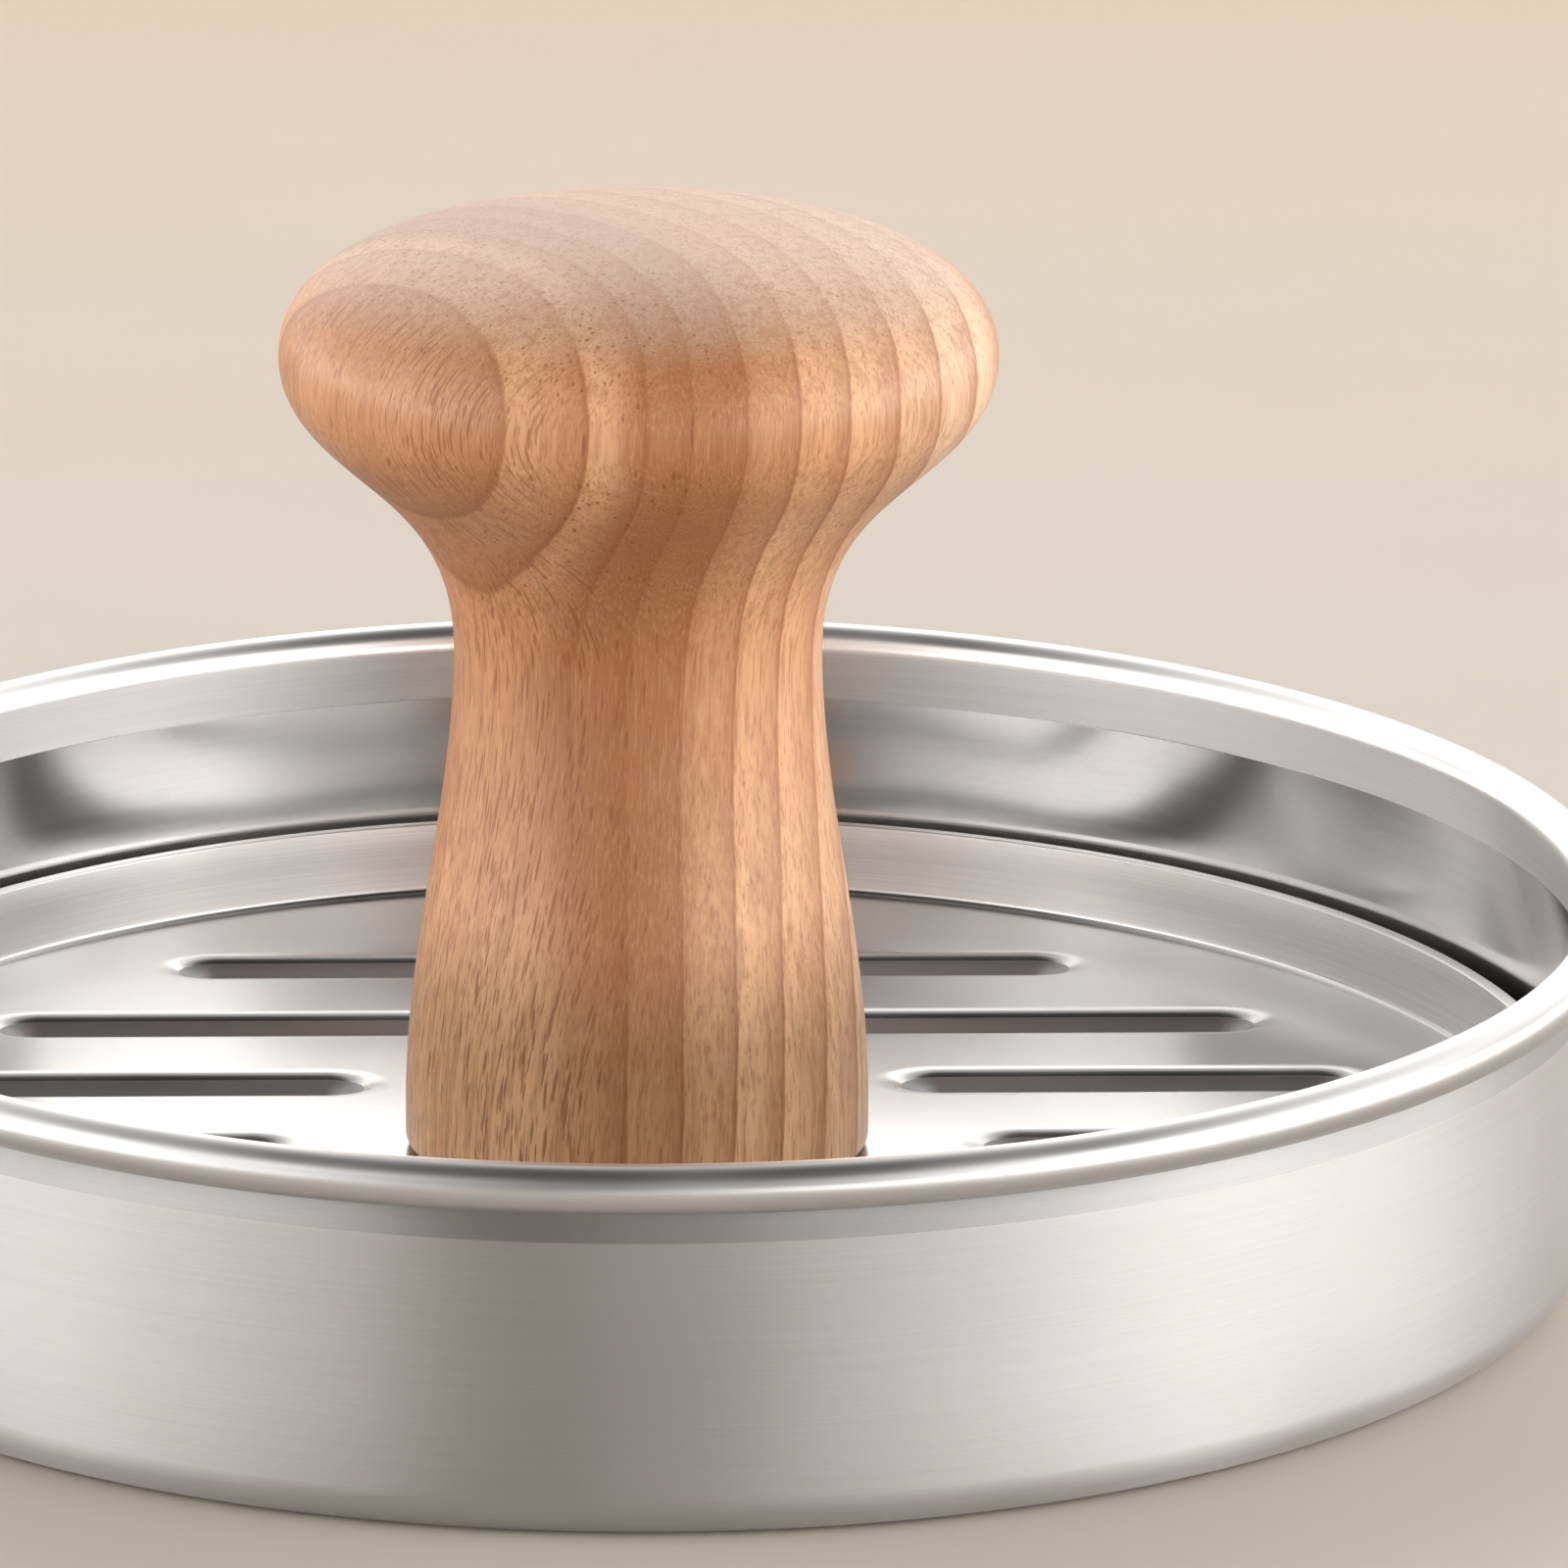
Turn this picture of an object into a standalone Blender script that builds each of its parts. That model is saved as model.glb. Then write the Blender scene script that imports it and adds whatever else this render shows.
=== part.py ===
"""Burger press: a shallow steel dish with a rolled rim, and a press that drops into it.

The press is a grooved steel plate with an upturned flange. A turned beech handle stands on its
middle, held by one wood screw with a washer that comes up through the plate from below.
Metres, +Z up. The origin is the centre of the dish's underside, on the table. The grooves run
along X. The press lifts out along +Z.
"""

import math

import bmesh
import bpy

# Clearances. Touching pieces are modelled with a small gap, and the press slides in the dish.
seat_gap = 0.0003
slide_clearance = 0.0004

# Dish: drawn from sheet, drawn in a little near the top and rolled outward at the rim.
dish_diameter = 0.120
dish_height = 0.02275
dish_sheet = 0.0008
dish_corner_radius = 0.0028
rim_radius = 0.00145
rim_end_angle = math.radians(-85)
neck_step = 0.0005
neck_height = 0.0048

# Press plate: sheet with pressed grooves, which are ribs on its underside, and a flange.
plate_sheet = 0.001
flange_height = 0.00445
flange_lean = 0.0003
flange_corner_radius = 0.0005

# Grooves: straight rows between a bare border along the flange and a bare pad round the handle.
groove_pitch = 0.0125
groove_depth = 0.00355
groove_root_width = 0.00054
groove_root_radius = 0.0005
groove_wall_angle = math.radians(80)
groove_rib_fillet = 0.0009
groove_end_stretch = 1.5
groove_border = 0.0069
groove_pad_margin = 0.0054
groove_shortest = 0.010

# Handle: turned beech, measured up from its foot.
handle_length = 0.05755
handle_foot_radius = 0.01407
handle_foot_round = 0.0006
handle_foot_straight = 0.0028
handle_waist_radius = 0.0111
handle_waist_height = 0.03105
handle_knob_radius = 0.0216
handle_knob_height = 0.04925
handle_crown_flat = 0.0145
handle_skirt_pull = 0.33
handle_neck_pull = 0.60
handle_cheek_pull = 0.36
handle_crown_pull = 0.65

# Screw and washer.
screw_radius = 0.002
screw_length = 0.025
screw_tip_length = 0.004
screw_head_radius = 0.004
screw_head_height = 0.0014
screw_head_round = 0.0008
recess_width = 0.0009
recess_span = 0.0042
recess_depth = 0.0008
washer_radius = 0.005
washer_thickness = 0.0008
screw_hole_clearance = 0.0003
bore_end_room = 0.0006

# Facets round each piece.
dish_steps = 64
handle_steps = 40
screw_steps = 20
hole_steps = 16
groove_end_steps = 6
groove_shoulder_steps = 3
groove_root_steps = 2
corner_steps = 4
foot_round_steps = 2
curve_steps = 9

# Radii that follow from the sizes above.
rim_centre_radius = dish_diameter / 2 - rim_radius
rim_centre_height = dish_height - rim_radius
mouth_radius = rim_centre_radius - rim_radius
wall_inner_radius = mouth_radius + neck_step
wall_outer_radius = wall_inner_radius + dish_sheet
flange_outer_radius = mouth_radius - slide_clearance
flange_top_radius = flange_outer_radius - plate_sheet
flange_foot_radius = flange_top_radius - flange_lean
plate_flat_radius = flange_foot_radius - flange_corner_radius
screw_hole_radius = screw_radius + screw_hole_clearance
groove_reach = plate_flat_radius - groove_border
groove_pad_radius = handle_foot_radius + groove_pad_margin

# A groove's wall runs straight between a rounded shoulder at the lip and a rounded root.
groove_shoulder_radius = plate_sheet + groove_rib_fillet
groove_bend_radii = groove_shoulder_radius + groove_root_radius
groove_wall_drop = groove_depth - groove_bend_radii * (1 - math.cos(groove_wall_angle))
groove_half_width = (
    groove_root_width / 2
    + groove_bend_radii * math.sin(groove_wall_angle)
    + groove_wall_drop / math.tan(groove_wall_angle)
)

# Heights that follow: the ribs stand on the dish floor, and the handle on the plate.
plate_top = dish_sheet + seat_gap + plate_sheet + groove_depth
handle_foot = plate_top + seat_gap
washer_top = plate_top - plate_sheet - seat_gap
screw_seat = washer_top - washer_thickness - seat_gap


def clear_scene():
    """Removes whatever the scene starts with."""
    for found in list(bpy.data.objects):
        bpy.data.objects.remove(found)


def material(name, colour, roughness, metallic):
    """A plain Principled finish."""
    made = bpy.data.materials.new(name)
    made.use_nodes = True
    shader = made.node_tree.nodes["Principled BSDF"]
    shader.inputs["Base Color"].default_value = (*colour, 1.0)
    shader.inputs["Roughness"].default_value = roughness
    shader.inputs["Metallic"].default_value = metallic
    return made


def as_object(name, bm, finish, sharp_angle=35):
    """Turns a bmesh into a smooth-shaded object with its faces pointing out."""
    bmesh.ops.remove_doubles(bm, verts=bm.verts, dist=1e-6)
    bmesh.ops.recalc_face_normals(bm, faces=bm.faces)
    mesh = bpy.data.meshes.new(name)
    bm.to_mesh(mesh)
    bm.free()
    mesh.shade_smooth()
    mesh.set_sharp_from_angle(angle=math.radians(sharp_angle))
    mesh.materials.append(finish)
    made = bpy.data.objects.new(name, mesh)
    bpy.context.scene.collection.objects.link(made)
    return made


def turned(name, section, steps, finish, closed=False):
    """Turns a section of (radius, height) points about Z. An open section starts and ends on the axis."""
    bm = bmesh.new()
    verts = [bm.verts.new((radius, 0, height)) for radius, height in section]
    pairs = zip(verts, verts[1:] + verts[:1]) if closed else zip(verts, verts[1:])
    edges = [bm.edges.new(pair) for pair in pairs]
    bmesh.ops.spin(
        bm,
        geom=verts + edges,
        cent=(0, 0, 0),
        axis=(0, 0, 1),
        angle=math.tau,
        steps=steps,
        use_merge=True,
    )
    return as_object(name, bm, finish)


def arc(centre, radius, start, end, steps):
    """Points of an arc, each with the direction that points away from the centre."""
    turn = [start + (end - start) * i / steps for i in range(steps + 1)]
    return [
        (
            (centre[0] + radius * math.cos(a), centre[1] + radius * math.sin(a)),
            (math.cos(a), math.sin(a)),
        )
        for a in turn
    ]


def curve(start, start_pull, end_pull, end, steps):
    """Points of a cubic curve between two ends, each with its pull point."""
    points = []
    for i in range(steps + 1):
        t = i / steps
        weights = ((1 - t) ** 3, 3 * t * (1 - t) ** 2, 3 * t * t * (1 - t), t**3)
        corners = (start, start_pull, end_pull, end)
        points.append(tuple(sum(w * c[k] for w, c in zip(weights, corners)) for k in (0, 1)))
    return points


def neck_angle():
    """How far the neck leans in from upright, so that it runs into the rolled rim without a kink."""
    across = rim_centre_radius - wall_inner_radius
    up = neck_height - rim_radius
    return math.atan2(up, across) - math.acos(rim_radius / math.hypot(across, up))


def dish_inner_face():
    """The dish's inner face from the floor's centre to the end of the roll, as points with normals."""
    lean = neck_angle()
    corner = arc(
        (wall_outer_radius - dish_corner_radius, dish_corner_radius),
        dish_corner_radius - dish_sheet,
        math.radians(-90),
        0,
        corner_steps,
    )
    face = [((0, dish_sheet), (0, 1))]
    face += [(point, (-normal[0], -normal[1])) for point, normal in corner]
    crease_normal = (-math.cos(lean / 2), -math.sin(lean / 2))
    face.append(((wall_inner_radius, dish_height - neck_height), crease_normal))
    centre = (rim_centre_radius, rim_centre_height)
    face += arc(centre, rim_radius, math.pi + lean, math.pi / 2, corner_steps)
    face += arc(centre, rim_radius, math.pi / 2, 0, corner_steps)[1:]
    face += arc(centre, rim_radius, 0, rim_end_angle, corner_steps)[1:]
    return face


def make_dish(finish):
    """The dish's sheet: its inner face, and the same line one sheet thickness further out."""
    inner = dish_inner_face()
    outer = [
        (point[0] - dish_sheet * normal[0], point[1] - dish_sheet * normal[1])
        for point, normal in inner
    ]
    section = [point for point, _ in inner] + outer[::-1]
    return turned("dish", section, dish_steps, finish)


def ring(bm, radius, height, steps):
    """A circle of vertices about the axis."""
    return [
        bm.verts.new(
            (radius * math.cos(math.tau * i / steps), radius * math.sin(math.tau * i / steps), height)
        )
        for i in range(steps)
    ]


def loop_edges(bm, loop):
    """The edges round a closed loop of vertices, made where they are missing."""
    edges = []
    for a, b in zip(loop, loop[1:] + loop[:1]):
        edges.append(bm.edges.get((a, b)) or bm.edges.new((a, b)))
    return edges


def skin(bm, loops):
    """Faces between neighbouring loops of equal count."""
    for low, high in zip(loops, loops[1:]):
        for a, b, c, d in zip(low, low[1:] + low[:1], high[1:] + high[:1], high):
            bm.faces.new((a, b, c, d))


def groove_section(below):
    """Half-widths and heights of a groove from its lip to its root, on the face `below` the top face."""
    shoulder = arc(
        (groove_half_width, -groove_shoulder_radius),
        groove_shoulder_radius - below,
        math.pi / 2,
        math.pi / 2 + groove_wall_angle,
        groove_shoulder_steps,
    )
    root = arc(
        (groove_root_width / 2, groove_root_radius - groove_depth),
        groove_root_radius + below,
        groove_wall_angle - math.pi / 2,
        -math.pi / 2,
        groove_root_steps,
    )
    return [point for point, _ in shoulder + root]


def groove_spans():
    """Centre x, half-length and y of each groove. Rows near the handle stop short of its pad."""
    spans = []
    rows = int((groove_reach - 2 * groove_half_width) / groove_pitch)
    for row in range(-rows, rows + 1):
        y = row * groove_pitch
        far = math.sqrt(groove_reach**2 - y**2)
        near = math.sqrt(max(groove_pad_radius**2 - y**2, 0))
        if near == 0:
            if 2 * far > groove_shortest:
                spans.append((0, far, y))
        elif far - near > groove_shortest:
            middle = (far + near) / 2
            spans += [(middle, (far - near) / 2, y), (-middle, (far - near) / 2, y)]
    return spans


def groove_loop(bm, span, half_width, offset, height):
    """A long loop with round ends, stretched along the groove. The sheet's offset isn't stretched."""
    x, half_length, y = span
    straight = half_length - groove_end_stretch * groove_half_width
    end = groove_end_stretch * (half_width - offset) + offset
    loop = []
    for side in (1, -1):
        for i in range(groove_end_steps + 1):
            a = math.pi * (i / groove_end_steps - 0.5)
            loop.append(
                bm.verts.new(
                    (
                        x + side * (straight + end * math.cos(a)),
                        y + side * half_width * math.sin(a),
                        height,
                    )
                )
            )
    return loop


def flange_section(below):
    """Radii and heights of the flange from the flat to its top edge, on the face `below` the top face."""
    lean = math.atan2(flange_lean, flange_height - flange_corner_radius)
    corner = arc(
        (plate_flat_radius, flange_corner_radius),
        flange_corner_radius + below,
        -math.pi / 2,
        -lean,
        corner_steps,
    )
    edge = (flange_top_radius + below * math.cos(lean), flange_height)
    return [point for point, _ in corner] + [edge]


def plate_face(bm, below):
    """One face of the pressed sheet. Returns the loops at the screw hole and at the flange's edge."""
    hole = ring(bm, screw_hole_radius, -below, hole_steps)
    rim = [ring(bm, radius, height, dish_steps) for radius, height in flange_section(below)]
    section = groove_section(below)
    top_section = groove_section(0)
    flat_edges = loop_edges(bm, hole) + loop_edges(bm, rim[0])
    for span in groove_spans():
        loops = [
            groove_loop(bm, span, across, across - top_across, height)
            for (across, height), (top_across, _) in zip(section, top_section)
        ]
        flat_edges += loop_edges(bm, loops[0])
        skin(bm, loops)
        bm.faces.new(loops[-1])
    skin(bm, rim)
    bmesh.ops.triangle_fill(bm, edges=flat_edges, use_beauty=True, normal=(0, 0, 1))
    return hole, rim[-1]


def make_plate(finish):
    """The press plate: its upper and under face, joined round the screw hole and the flange's edge."""
    bm = bmesh.new()
    top_hole, top_edge = plate_face(bm, 0)
    under_hole, under_edge = plate_face(bm, plate_sheet)
    skin(bm, [top_hole, under_hole])
    skin(bm, [top_edge, under_edge])
    return as_object("press_plate", bm, finish)


def make_handle(finish):
    """The turned handle, with a blind bore for the screw."""
    bore_end = screw_seat + screw_length + bore_end_room - handle_foot
    skirt_rise = handle_waist_height - handle_foot_straight
    neck_rise = handle_knob_height - handle_waist_height
    crown_rise = handle_length - handle_knob_height
    section = [(0, bore_end), (screw_hole_radius, bore_end), (screw_hole_radius, 0)]
    foot = arc(
        (handle_foot_radius - handle_foot_round, handle_foot_round),
        handle_foot_round,
        math.radians(-90),
        0,
        foot_round_steps,
    )
    section += [point for point, _ in foot]
    section += curve(
        (handle_foot_radius, handle_foot_straight),
        (handle_foot_radius, handle_foot_straight + handle_skirt_pull * skirt_rise),
        (handle_waist_radius, handle_waist_height - handle_skirt_pull * skirt_rise),
        (handle_waist_radius, handle_waist_height),
        curve_steps,
    )
    section += curve(
        (handle_waist_radius, handle_waist_height),
        (handle_waist_radius, handle_waist_height + handle_neck_pull * neck_rise),
        (handle_knob_radius, handle_knob_height - handle_cheek_pull * neck_rise),
        (handle_knob_radius, handle_knob_height),
        curve_steps,
    )[1:]
    section += curve(
        (handle_knob_radius, handle_knob_height),
        (handle_knob_radius, handle_knob_height + handle_crown_pull * crown_rise),
        (handle_crown_flat, handle_length),
        (0, handle_length),
        curve_steps,
    )[1:]
    made = turned("handle", section, handle_steps, finish)
    made.location = (0, 0, handle_foot)
    return made


def make_recess_cutter():
    """A cross-shaped cutter for the screw's drive recess."""
    wide = recess_span / 2
    thin = recess_width / 2
    quarter = [(wide, -thin), (wide, thin), (thin, thin)]
    outline = []
    for k in range(4):
        turn = k * math.pi / 2
        c = round(math.cos(turn))
        s = round(math.sin(turn))
        outline += [(x * c - y * s, x * s + y * c) for x, y in quarter]
    bm = bmesh.new()
    face = bm.faces.new([bm.verts.new((x, y, 0)) for x, y in outline])
    lifted = bmesh.ops.extrude_face_region(bm, geom=[face])["geom"]
    raised = [item for item in lifted if isinstance(item, bmesh.types.BMVert)]
    bmesh.ops.translate(bm, vec=(0, 0, 2 * recess_depth), verts=raised)
    bmesh.ops.recalc_face_normals(bm, faces=bm.faces)
    mesh = bpy.data.meshes.new("recess_cutter")
    bm.to_mesh(mesh)
    bm.free()
    cutter = bpy.data.objects.new("recess_cutter", mesh)
    bpy.context.scene.collection.objects.link(cutter)
    cutter.hide_render = True
    cutter.display_type = "WIRE"
    return cutter


def make_screw(finish):
    """A pan-head wood screw, head down, with its underhead face at the origin."""
    head = arc(
        (screw_head_radius - screw_head_round, screw_head_round - screw_head_height),
        screw_head_round,
        math.radians(-90),
        0,
        corner_steps,
    )
    section = [(0, -screw_head_height)]
    section += [point for point, _ in head]
    section += [
        (screw_head_radius, 0),
        (screw_radius, 0),
        (screw_radius, screw_length - screw_tip_length),
        (0, screw_length),
    ]
    made = turned("handle_screw", section, screw_steps, finish)
    made.location = (0, 0, screw_seat)
    cutter = make_recess_cutter()
    cutter.parent = made
    cutter.location = (0, 0, -screw_head_height - recess_depth)
    cut = made.modifiers.new("drive recess", "BOOLEAN")
    cut.operation = "DIFFERENCE"
    cut.solver = "EXACT"
    cut.object = cutter
    return made


def make_washer(finish):
    """The flat washer under the screw's head."""
    section = [
        (screw_hole_radius, 0),
        (washer_radius, 0),
        (washer_radius, -washer_thickness),
        (screw_hole_radius, -washer_thickness),
    ]
    made = turned("screw_washer", section, screw_steps, finish, closed=True)
    made.location = (0, 0, washer_top)
    return made


def make_press(steel, beech, plated):
    """The press: plate, handle, screw and washer, carried by an empty on the axis that it lifts along."""
    press = bpy.data.objects.new("press", None)
    bpy.context.scene.collection.objects.link(press)
    plate = make_plate(steel)
    plate.location = (0, 0, plate_top)
    for piece in (plate, make_handle(beech), make_screw(plated), make_washer(plated)):
        piece.parent = press
    return press


def main():
    """Builds the whole burger press."""
    clear_scene()
    steel = material("stainless steel", (0.62, 0.61, 0.60), 0.28, 1.0)
    beech = material("beech", (0.62, 0.38, 0.22), 0.55, 0.0)
    plated = material("plated steel", (0.66, 0.65, 0.62), 0.35, 1.0)
    make_dish(steel)
    make_press(steel, beech, plated)


main()
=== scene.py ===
# %% [markdown]
# # A burger press, modelled and finished in Blender
#
# The real thing is two pressings of stainless steel and a turned beech handle. A shallow dish
# with a rolled rim shapes the burger. A grooved plate drops into it and is pushed down by the
# handle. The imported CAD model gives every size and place, so each piece below is modelled finely
# over its CAD node and rides on the same body.

# %% Load the frame
import math

import bmesh
import bpy
from mathutils import Matrix, Vector


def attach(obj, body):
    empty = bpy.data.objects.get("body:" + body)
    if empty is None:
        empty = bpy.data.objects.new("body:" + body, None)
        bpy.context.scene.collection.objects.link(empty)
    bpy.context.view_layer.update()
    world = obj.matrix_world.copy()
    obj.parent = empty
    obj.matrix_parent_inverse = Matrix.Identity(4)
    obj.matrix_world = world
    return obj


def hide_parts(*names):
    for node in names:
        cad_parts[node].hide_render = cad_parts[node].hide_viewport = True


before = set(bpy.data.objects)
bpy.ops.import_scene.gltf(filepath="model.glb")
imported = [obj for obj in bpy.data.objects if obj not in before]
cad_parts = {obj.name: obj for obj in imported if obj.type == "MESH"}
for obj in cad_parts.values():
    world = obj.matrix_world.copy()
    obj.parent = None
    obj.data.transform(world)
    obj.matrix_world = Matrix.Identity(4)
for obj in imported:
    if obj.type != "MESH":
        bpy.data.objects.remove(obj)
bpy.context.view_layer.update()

MM = 0.001


# %% [markdown]
# ## Helpers for modelling by hand
#
# An operator acts on whatever is selected, so every step starts by saying what is selected. The
# loader leaves the CAD nodes selected, which is why everything is deselected before a new
# primitive is added. A small function picks vertices, edges or faces by their place.

# %% Helpers for selecting
def start_fresh():
    """Leaves edit mode if need be, with nothing selected."""
    if bpy.context.mode != "OBJECT":
        bpy.ops.object.mode_set(mode="OBJECT")
    bpy.ops.object.select_all(action="DESELECT")


def only(piece):
    """Makes one object the selected and active one."""
    start_fresh()
    piece.select_set(True)
    bpy.context.view_layer.objects.active = piece


def open_mesh(piece):
    """Goes into edit mode on one object, with all of its mesh selected."""
    only(piece)
    bpy.ops.object.mode_set(mode="EDIT")
    bpy.ops.mesh.select_mode(type="VERT")
    bpy.ops.mesh.select_all(action="SELECT")


def close_mesh():
    """Goes back to object mode."""
    bpy.ops.object.mode_set(mode="OBJECT")


def pick(piece, kind, test):
    """Selects the vertices, edges or faces that pass a test, in edit mode. Returns how many."""
    bpy.ops.mesh.select_mode(type={"verts": "VERT", "edges": "EDGE", "faces": "FACE"}[kind])
    bpy.ops.mesh.select_all(action="DESELECT")
    bm = bmesh.from_edit_mesh(piece.data)
    found = [item for item in getattr(bm, kind) if test(item)]
    for item in found:
        item.select_set(True)
    bm.select_flush_mode()
    bmesh.update_edit_mesh(piece.data)
    return len(found)


def radius_of(point):
    """Distance from the press's axis."""
    return math.hypot(point[0], point[1])


# %% [markdown]
# ## Turned shapes
#
# The dish, the plate's flange, the handle, the screw and the washer are all round. On a lathe or
# a spinning tool their outline is swept round the axis, and here it is the same: one vertex is
# extruded from point to point along half the section, and the spin operator turns it about Z.

# %% Helpers for turned shapes
def arc(centre, radius, start, end, steps):
    """Points of an arc in (radius, height), with angles in degrees."""
    turns = [math.radians(start + (end - start) * i / steps) for i in range(steps + 1)]
    return [(centre[0] + radius * math.cos(a), centre[1] + radius * math.sin(a)) for a in turns]


def draw_outline(name, points):
    """Starts from one vertex and extrudes it along (radius, height) points given in millimetres."""
    start_fresh()
    bpy.ops.mesh.primitive_plane_add(size=MM, location=(points[0][0] * MM, 0, points[0][1] * MM))
    piece = bpy.context.object
    piece.name = name
    piece.data.name = name
    bpy.ops.object.transform_apply(location=True)
    open_mesh(piece)
    bpy.ops.mesh.merge(type="CENTER")
    for before, after in zip(points, points[1:]):
        move = ((after[0] - before[0]) * MM, 0, (after[1] - before[1]) * MM)
        bpy.ops.mesh.extrude_region_move(TRANSFORM_OT_translate={"value": move})
    close_mesh()
    return piece


def turn(piece, steps):
    """Spins the outline once round Z, welds the seam and the poles, and points the faces out."""
    open_mesh(piece)
    bpy.ops.mesh.spin(steps=steps, angle=math.tau, center=(0, 0, 0), axis=(0, 0, 1))
    bpy.ops.mesh.select_all(action="SELECT")
    bpy.ops.mesh.remove_doubles(threshold=0.001 * MM)
    bpy.ops.mesh.normals_make_consistent(inside=False)
    close_mesh()
    return piece


def give_thickness(piece, thickness, offset):
    """Turns a single layer of faces into sheet of even thickness."""
    only(piece)
    sheet = piece.modifiers.new("sheet", "SOLIDIFY")
    sheet.thickness = thickness * MM
    sheet.offset = offset
    sheet.use_even_offset = True
    bpy.ops.object.modifier_apply(modifier=sheet.name)


def soften(piece, test, width, steps):
    """Rounds the edges that pass the test."""
    open_mesh(piece)
    count = pick(piece, "edges", test)
    bpy.ops.mesh.bevel(offset=width * MM, segments=steps, profile=0.5, affect="EDGES")
    close_mesh()
    return count


def smooth(piece, angle):
    """Smooth shading, with edges sharper than an angle in degrees left crisp."""
    only(piece)
    bpy.ops.object.shade_smooth_by_angle(angle=math.radians(angle))


def report(piece):
    """Prints the size, face count, open edges and volume of a finished piece."""
    bm = bmesh.new()
    bm.from_mesh(piece.data)
    open_edges = sum(1 for edge in bm.edges if not edge.is_manifold)
    volume = bm.calc_volume(signed=True) / MM**3
    faces = len(bm.faces)
    bm.free()
    sides = [round(side / MM, 2) for side in piece.dimensions]
    print(f"{piece.name}: {sides} mm, {faces} faces, {open_edges} open edges, {volume:.0f} mm3")


# %% [markdown]
# ## The dish
#
# The dish is drawn from 0.8 mm sheet. Its wall is upright, leans in a little near the top, and
# ends in a rim rolled outward into a bead. The outline below is the face that the hand and the
# meat touch, from the middle of the floor over the bead to its cut edge. Solidify then gives it
# the thickness of the sheet on the other side, so the inside of the roll is right by itself.

# %% Dish sizes, in millimetres
dish_sheet = 0.8
wall_inner = 57.6
floor_corner = 2.0
crease_height = 17.95
crease_round = 0.5
bead_centre = (58.55, 21.3)
bead_radius = 1.45
bead_end = -85
floor_rings = (0, 20, 40, 52)
wall_rings = (8, 13)
roll_end_radius = 58.5
neck_foot = 18.0
roll_softening = 0.12
crisp_angle = 60
turn_steps = 224


def neck_lean():
    """The angle of the neck from upright, in degrees, so that it meets the bead without a kink."""
    across = bead_centre[0] - wall_inner
    up = bead_centre[1] - crease_height
    return math.degrees(math.atan2(up, across) - math.acos(bead_radius / math.hypot(across, up)))


# %% Model the dish
lean = neck_lean()
crease_reach = crease_round * math.tan(math.radians(lean / 2))
crease_centre = (wall_inner - crease_round, crease_height - crease_reach)
outline = [(radius, dish_sheet) for radius in floor_rings]
outline += arc((wall_inner - floor_corner, dish_sheet + floor_corner), floor_corner, -90, 0, 10)
outline += [(wall_inner, height) for height in wall_rings]
outline += arc(crease_centre, crease_round, 0, lean, 4)
outline += arc(bead_centre, bead_radius, 180 + lean, bead_end, 40)
dish = turn(draw_outline("steel_dish", outline), turn_steps)
give_thickness(dish, dish_sheet, -1)
cut_edges = soften(
    dish,
    lambda e: len(e.link_faces) == 2
    and e.calc_face_angle(0) > math.radians(crisp_angle)
    and all(radius_of(v.co) > roll_end_radius * MM for v in e.verts)
    and all(v.co.z > neck_foot * MM for v in e.verts),
    width=roll_softening,
    steps=2,
)
smooth(dish, angle=32)
report(dish)
print("edges softened at the end of the roll:", cut_edges, "lean of the neck:", round(lean, 2))


# %% [markdown]
# ## The press plate
#
# The plate is pressed from 1 mm sheet. Ten grooves run across it, which are grill ribs on its
# underside, and its edge is turned up into a flange that guides it in the dish. One groove is
# modelled as an oval dimple: a circle, stretched, then extruded down and narrowed step by step
# along the groove's section. Each copy is drawn out to its own length by moving its two ends.
# A narrow flat ring goes round each groove and round the hole, so that the long triangles which
# fill the flat can't pull at the shading of the lips.

# %% Plate sizes, in millimetres
plate_sheet = 1.0
plate_top = 5.65
flange_top = plate_top + 4.45
flange_inner = 55.7
flange_lean = 0.3
flange_corner = 0.5
flange_swell = (0.12, 2.7)
flange_softening = 0.13
flange_rim = 0.6
flat_edge = flange_inner - flange_lean - flange_corner
flat_lead = 0.4
flat_ring = 0.3
screw_hole = 2.3
groove_pitch = 12.5
groove_depth = 3.55
groove_half = 2.91
root_round = 0.5
shoulder_round = 1.9
wall_angle = 80
end_stretch = 1.5
border = 6.9
foot_radius = 14.07
pad_border = 5.4
pad_radius = foot_radius + pad_border
round_steps = 48
near_middle = 0.0001
near_flat = 0.001
near_hole = 0.01


def groove_section():
    """Half-width and depth of the groove from its lip to its root."""
    steep = math.radians(wall_angle)
    bends = shoulder_round + root_round
    wall_drop = groove_depth - bends * (1 - math.cos(steep))
    root_half = groove_half - bends * math.sin(steep) - wall_drop / math.tan(steep)
    shoulder = arc((groove_half, -shoulder_round), shoulder_round, 90, 90 + wall_angle, 9)
    root = arc((root_half, root_round - groove_depth), root_round, wall_angle - 90, -90, 5)
    return shoulder + root


def groove_rows(half_width):
    """Middle, half-length and row of each groove, kept clear of the flange and of the handle."""
    reach = flat_edge - border
    rows = int((reach - 2 * half_width) / groove_pitch)
    spans = []
    for row in range(-rows, rows + 1):
        y = row * groove_pitch
        far = math.sqrt(reach**2 - y**2)
        near = math.sqrt(max(pad_radius**2 - y**2, 0))
        if near == 0:
            spans.append((0, far, y))
        else:
            spans += [(side * (far + near) / 2, (far - near) / 2, y) for side in (-1, 1)]
    return spans


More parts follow.
